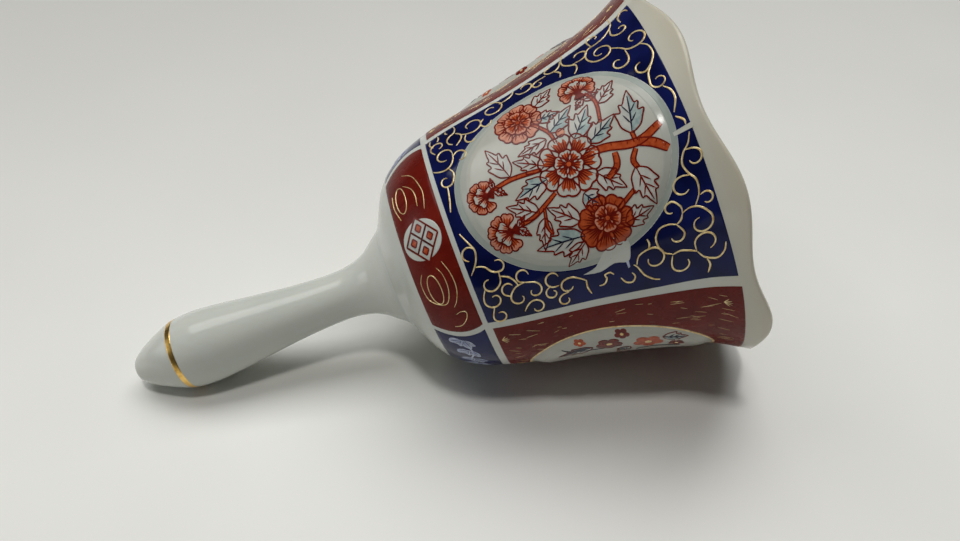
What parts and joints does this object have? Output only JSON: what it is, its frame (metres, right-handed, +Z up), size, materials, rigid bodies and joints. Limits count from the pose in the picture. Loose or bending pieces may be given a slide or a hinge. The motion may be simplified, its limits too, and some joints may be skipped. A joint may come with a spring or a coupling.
{
  "type": "table bell",
  "caption": "Flared porcelain hand bell with a lobed lip and raised medallions, lying on its side, with a hollow handle and a porcelain clapper on a brass chain.",
  "frame": {"origin": "middle of the bell's bounding box at the level of the surface that it lies on", "axes": "+X runs level along the bell from the handle to the mouth, +Z is up, +Y points to the bell's far side. The bell's own axis rises 15.7 degrees towards the mouth."},
  "size_m": [0.1434, 0.0866, 0.0833],
  "materials": {
    "porcelain": "gloss",
    "bisque": "satin",
    "brass": "satin"
  },
  "bodies": {
    "bell": {"bell_body": "porcelain", "handle": "porcelain", "crown_washer_upper": "brass", "crown_washer_lower": "brass"},
    "hanger": {"hanger_split_pin": "brass"},
    "link_1": {"chain_link_1": "brass"},
    "link_2": {"chain_link_2": "brass"},
    "link_3": {"chain_link_3": "brass"},
    "link_4": {"chain_link_4": "brass"},
    "clapper_wire": {"clapper_pin": "brass"},
    "clapper": {"clapper_bead": "bisque"}
  },
  "joints": [
    {"name": "hanger_swivel", "type": "hinge", "parent": "bell", "child": "hanger", "pos_m": [-0.0015, 0, 0.02446], "axis": [0.9625, 0, 0.2713], "continuous": true},
    {"name": "link_1_lift", "type": "hinge", "parent": "hanger", "child": "link_1", "pos_m": [-0.0015, 0, 0.02446], "axis": [0, -1, 0], "range_deg": [0, 44]},
    {"name": "link_2_side", "type": "hinge", "parent": "link_1", "child": "link_2", "pos_m": [0.0046, 0, 0.02238], "axis": [0.3216, 0, 0.9469], "range_deg": [-5, 5]},
    {"name": "link_3_lift", "type": "hinge", "parent": "link_2", "child": "link_3", "pos_m": [0.01071, 0, 0.02031], "axis": [0, -1, 0], "range_deg": [0, 12]},
    {"name": "link_4_side", "type": "hinge", "parent": "link_3", "child": "link_4", "pos_m": [0.01682, 0, 0.01824], "axis": [0.3216, 0, 0.9469], "range_deg": [-5, 5]},
    {"name": "clapper_lift", "type": "hinge", "parent": "link_4", "child": "clapper_wire", "pos_m": [0.02293, 0, 0.01616], "axis": [0, -1, 0], "range_deg": [0, 12]},
    {"name": "bead_spin", "type": "hinge", "parent": "clapper_wire", "child": "clapper", "pos_m": [0.02293, 0, 0.01616], "axis": [0.9469, 0, -0.3216], "continuous": true}
  ]
}
